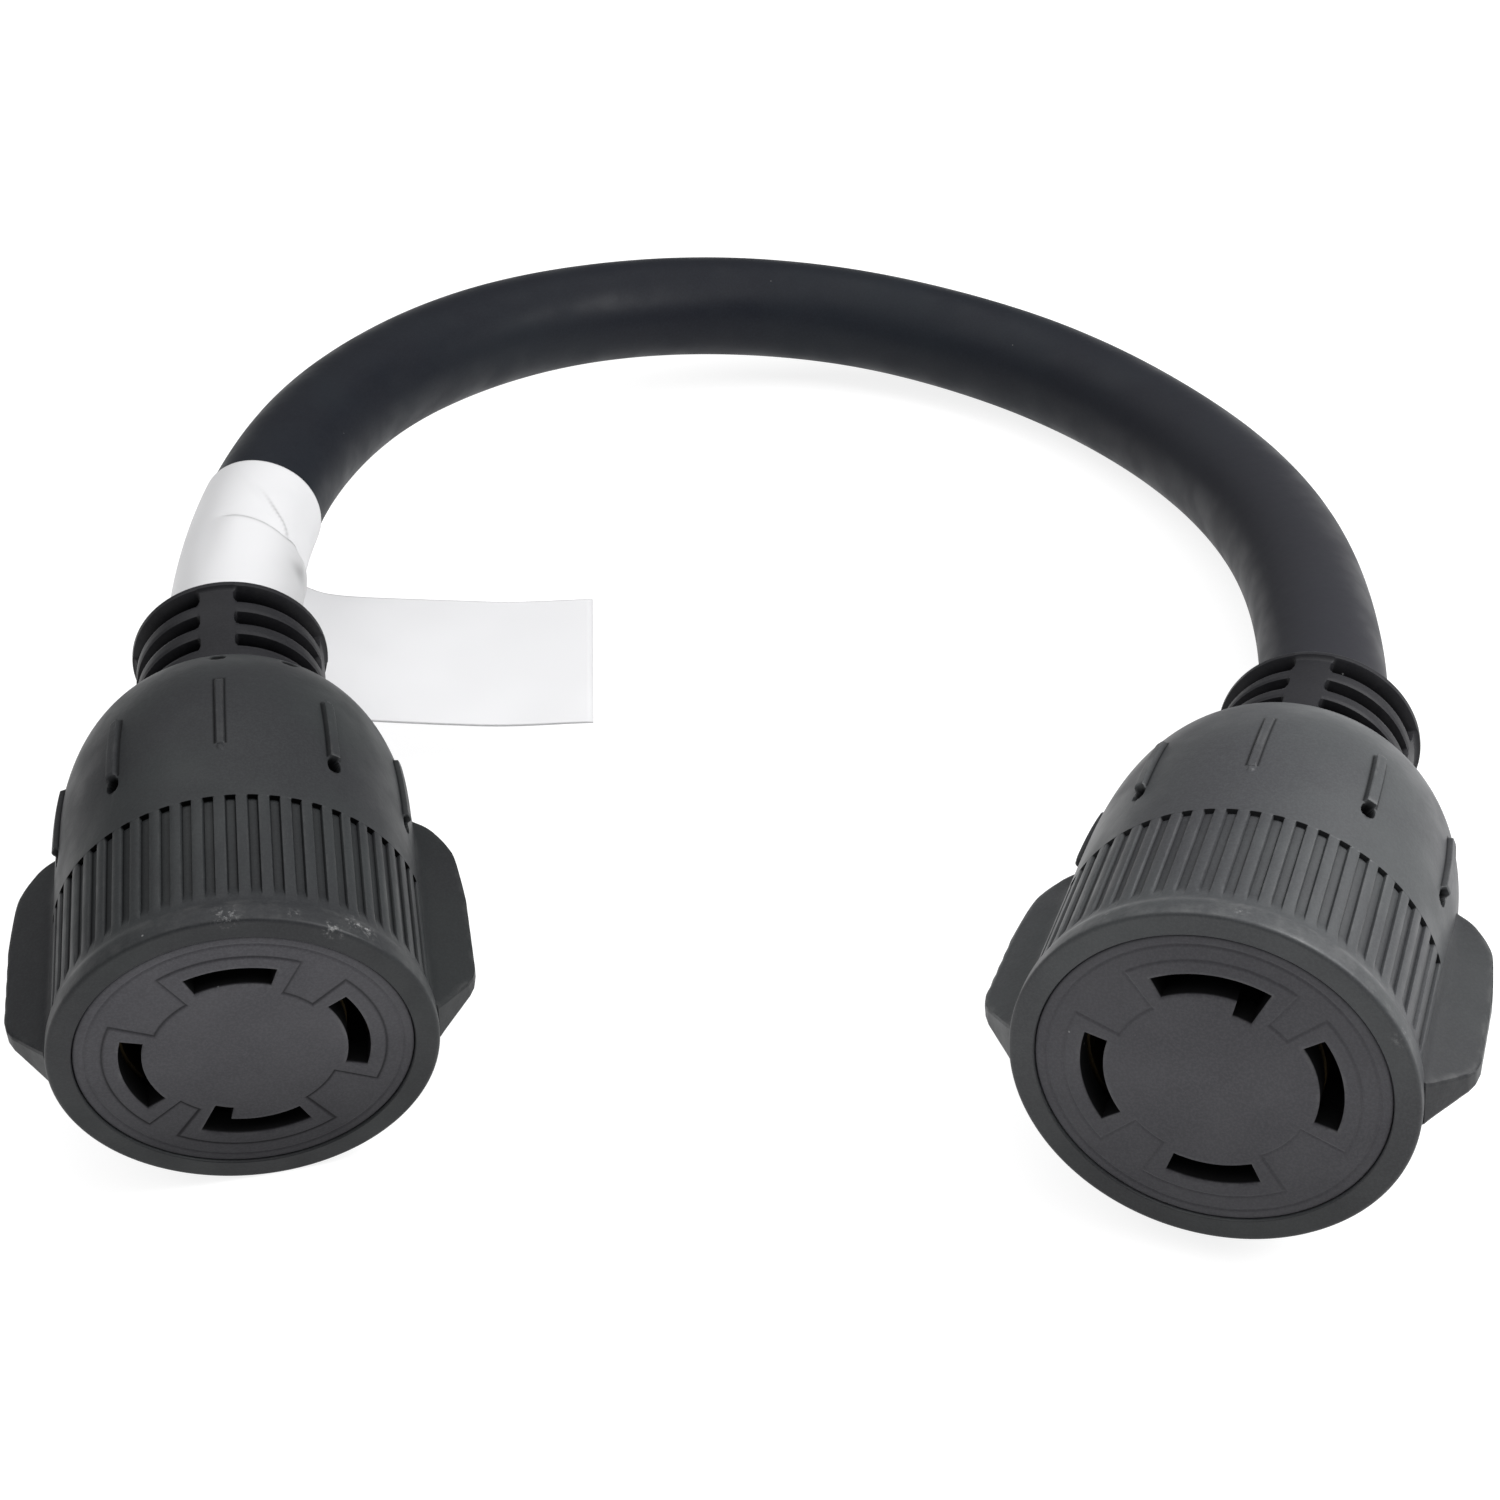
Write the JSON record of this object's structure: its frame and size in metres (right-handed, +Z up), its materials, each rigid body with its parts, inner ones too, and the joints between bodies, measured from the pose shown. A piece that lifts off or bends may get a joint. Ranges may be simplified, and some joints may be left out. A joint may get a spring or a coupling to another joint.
{
  "type": "power adapter cord",
  "caption": "Short thick extension cord with a moulded round locking socket on each end, its cable lying in an open loop with a blank white tag.",
  "frame": {"origin": "bottom centre of the box round the two connectors, without the cable", "axes": "+Z up from the surface it lies on; the socket faces look roughly towards -Y and the cable loops round on the +Y side; connector a is on the -X side"},
  "size_m": [0.2236, 0.2757, 0.0592],
  "materials": {
    "grip_pvc": "fine moulded grain, half matt",
    "relief_pvc": "half matt",
    "insert_nylon": "smooth matt",
    "carrier_nylon": "matt",
    "cover_pvc": "matt",
    "contact_brass": "drawn sheet",
    "jacket_pvc": "smooth, soft sheen",
    "filler_paper": "fibrous",
    "insulation_white": "satin",
    "insulation_black": "satin",
    "insulation_red": "satin",
    "insulation_green": "satin",
    "copper_wire": "bright strands",
    "label_vinyl": "smooth, half matt"
  },
  "bodies": {
    "root": {"grip_a": "grip_pvc", "strain_relief_a": "relief_pvc", "face_insert_a": "insert_nylon", "contact_carrier_a": "carrier_nylon", "inner_cover_a": "cover_pvc", "contact_neutral_a": "contact_brass", "contact_line_x_a": "contact_brass", "contact_line_y_a": "contact_brass", "contact_ground_a": "contact_brass", "grip_b": "grip_pvc", "strain_relief_b": "relief_pvc", "face_insert_b": "insert_nylon", "contact_carrier_b": "carrier_nylon", "inner_cover_b": "cover_pvc", "contact_neutral_b": "contact_brass", "contact_line_x_b": "contact_brass", "contact_line_y_b": "contact_brass", "contact_ground_b": "contact_brass", "cable_jacket": "jacket_pvc", "cable_filler": "filler_paper", "conductor_neutral": "insulation_white", "copper_neutral": "copper_wire", "conductor_line_x": "insulation_black", "copper_line_x": "copper_wire", "conductor_line_y": "insulation_red", "copper_line_y": "copper_wire", "conductor_ground": "insulation_green", "copper_ground": "copper_wire", "label_wrap": "label_vinyl"}
  },
  "joints": []
}
